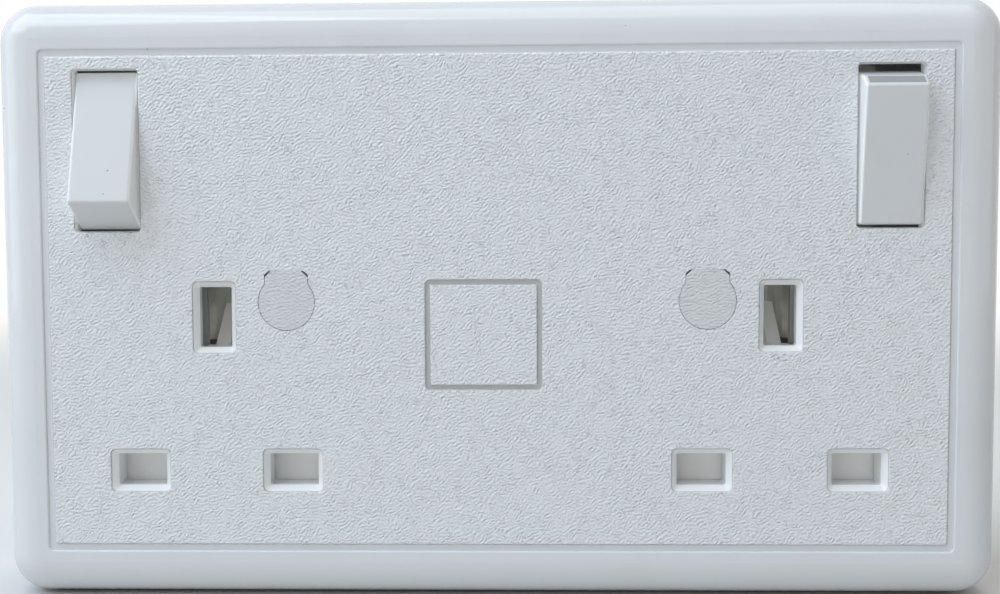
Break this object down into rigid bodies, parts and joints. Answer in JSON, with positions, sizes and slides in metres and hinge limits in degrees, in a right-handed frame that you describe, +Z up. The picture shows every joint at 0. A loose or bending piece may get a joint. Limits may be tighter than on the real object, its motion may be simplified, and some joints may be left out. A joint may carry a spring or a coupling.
{
  "type": "twin switched socket outlet",
  "caption": "White plastic twin mains socket with rocker switches, shuttered rectangular pin slots and covered fixing screws, in a deep shell for a single wall box.",
  "frame": {"origin": "middle of the rear rim plane that meets the wall, midway between the fixing holes", "axes": "+X to the right seen from the front, +Y into the wall so the front looks along -Y, +Z up"},
  "size_m": [0.1452, 0.0328, 0.087],
  "materials": {
    "front_plastic": "gloss border, fine wrinkled grain on the panel",
    "rocker_plastic": "smooth satin gloss",
    "indicator_plastic": "smooth",
    "cover_plastic": "matt",
    "shutter_plastic": "matt",
    "contact_metal": "plated, satin",
    "terminal_brass": "machined",
    "steel": "zinc plated",
    "tip_metal": "satin"
  },
  "bodies": {
    "housing": {"faceplate": "front_plastic", "rear_cover": "cover_plastic", "cover_screws": "steel", "live_bar": "contact_metal", "fixed_contact_tips": "tip_metal", "neutral_bar": "contact_metal", "earth_bar": "contact_metal", "terminal_live": "terminal_brass", "terminal_neutral": "terminal_brass", "terminal_earth": "terminal_brass", "terminal_screws": "steel", "live_contact_left": "contact_metal", "live_contact_right": "contact_metal", "shutter_retainer_left": "cover_plastic", "shutter_retainer_right": "cover_plastic", "shutter_spring_left": "steel", "shutter_spring_right": "steel", "screw_cap_left": "front_plastic", "screw_cap_right": "front_plastic"},
    "rocker_left": {"rocker_left": "rocker_plastic", "indicator_left": "indicator_plastic", "plunger_left": "cover_plastic", "plunger_spring_left": "steel"},
    "contact_left": {"moving_contact_left": "contact_metal", "moving_tip_left": "tip_metal"},
    "shutter_left": {"shutter_left": "shutter_plastic"},
    "rocker_right": {"rocker_right": "rocker_plastic", "indicator_right": "indicator_plastic", "plunger_right": "cover_plastic", "plunger_spring_right": "steel"},
    "contact_right": {"moving_contact_right": "contact_metal", "moving_tip_right": "tip_metal"},
    "shutter_right": {"shutter_right": "shutter_plastic"}
  },
  "joints": [
    {"name": "rocker_left_hinge", "type": "hinge", "parent": "housing", "child": "rocker_left", "pos_m": [-0.0558, -0.0232, 0.0218], "axis": [1, 0, 0], "range_deg": [0, 28]},
    {"name": "contact_left_hinge", "type": "hinge", "parent": "housing", "child": "contact_left", "pos_m": [-0.0558, -0.00805, 0.0218], "axis": [1, 0, 0], "range_deg": [-10, 0]},
    {"name": "shutter_left_slide", "type": "slide", "parent": "housing", "child": "shutter_left", "axis": [0, 0, -1], "range_m": [0, 0.0056], "stiffness_N_per_m": 120, "springref_m": -0.005, "deforming": ["shutter_spring_left"]},
    {"name": "rocker_right_hinge", "type": "hinge", "parent": "housing", "child": "rocker_right", "pos_m": [0.0558, -0.0232, 0.0218], "axis": [1, 0, 0], "range_deg": [-28, 0]},
    {"name": "contact_right_hinge", "type": "hinge", "parent": "housing", "child": "contact_right", "pos_m": [0.0558, -0.00805, 0.0218], "axis": [1, 0, 0], "range_deg": [0, 10]},
    {"name": "shutter_right_slide", "type": "slide", "parent": "housing", "child": "shutter_right", "axis": [0, 0, -1], "range_m": [0, 0.0056], "stiffness_N_per_m": 120, "springref_m": -0.005, "deforming": ["shutter_spring_right"]}
  ],
  "couplings": [
    {"joint": "contact_left_hinge", "follows": "rocker_left_hinge", "ratio": -0.35714},
    {"joint": "contact_right_hinge", "follows": "rocker_right_hinge", "ratio": -0.35714}
  ]
}
